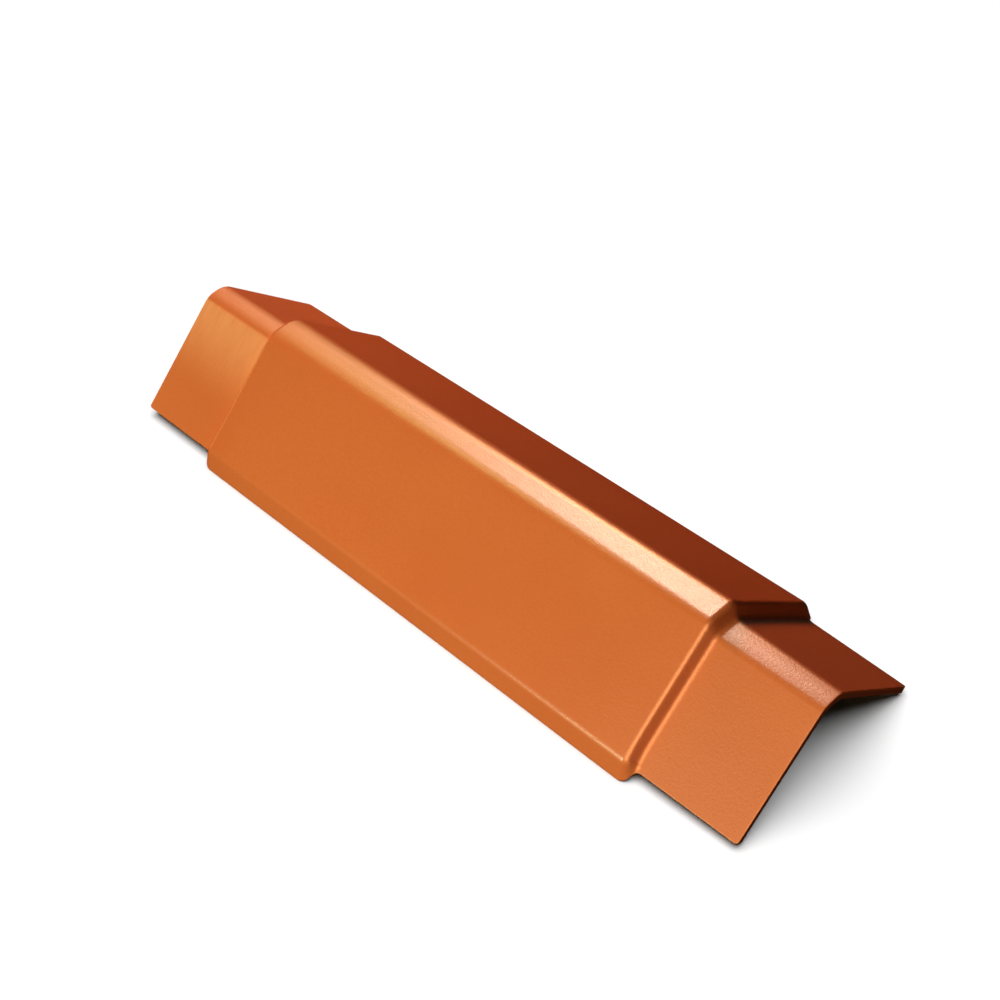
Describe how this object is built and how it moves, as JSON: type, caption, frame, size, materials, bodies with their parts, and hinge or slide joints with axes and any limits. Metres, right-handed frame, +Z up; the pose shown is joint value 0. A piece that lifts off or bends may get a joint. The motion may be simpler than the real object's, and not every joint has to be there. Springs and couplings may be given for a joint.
{
  "type": "ridge tile",
  "caption": "Folded sheet ridge tile with a raised middle panel, down-turned lips along its sides and a lower lap tongue at each end.",
  "frame": {"origin": "middle of the tile's footprint, on the ground under the ridge", "axes": "+X along the ridge towards the end whose tongue sinks a little, +Y across the ridge, +Z up"},
  "size_m": [0.6, 0.1868, 0.0833],
  "materials": {
    "painted_sheet": "satin orange paint on moulded fibre cement"
  },
  "bodies": {
    "root": {"ridge_tile": "painted_sheet"}
  },
  "joints": []
}
